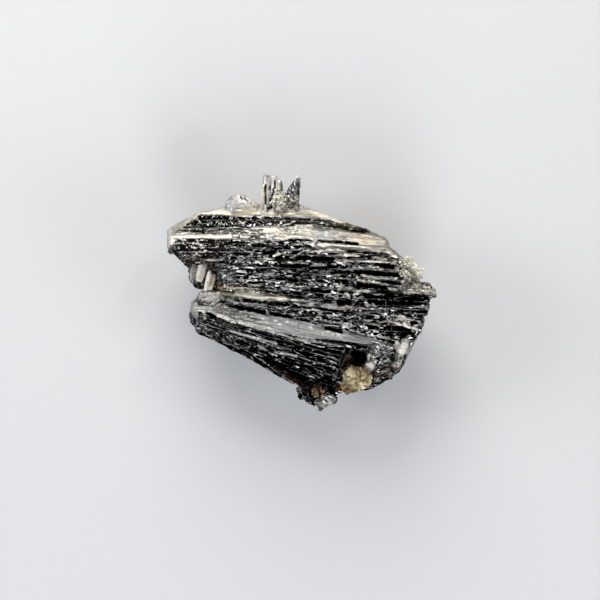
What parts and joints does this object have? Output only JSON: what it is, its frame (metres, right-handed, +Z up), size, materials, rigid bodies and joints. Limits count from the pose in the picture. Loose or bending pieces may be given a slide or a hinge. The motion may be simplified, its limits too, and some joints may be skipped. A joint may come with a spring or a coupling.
{
  "type": "striated mineral crystal specimen",
  "caption": "Metallic striated crystal cluster with upright blades on its crest, a granular lump and pale mineral remnants, lying on a flat contact face.",
  "frame": {"origin": "on the flat contact face under the specimen, below the middle of its long side", "axes": "+X along the striations, towards the stepped end with the yellow crust; +Y towards the crest with the upright blades; +Z up, out of the broad striated face"},
  "size_m": [0.0484, 0.0427, 0.0189],
  "materials": {
    "arsenopyrite": "metallic silver-grey, bright on ledges and near black in the grooves, finely striated",
    "siderite": "matt, granular, cream-yellow with a rusty fringe",
    "quartz": "waxy, cream-white, slightly iron-stained",
    "mica": "silky, pale greenish yellow flakes"
  },
  "bodies": {
    "root": {"arsenopyrite_crystal": "arsenopyrite", "siderite_lump": "siderite", "quartz_blade_upper": "quartz", "quartz_blade_lower": "quartz", "mica_crust": "mica", "mica_tuft": "mica"}
  },
  "joints": []
}
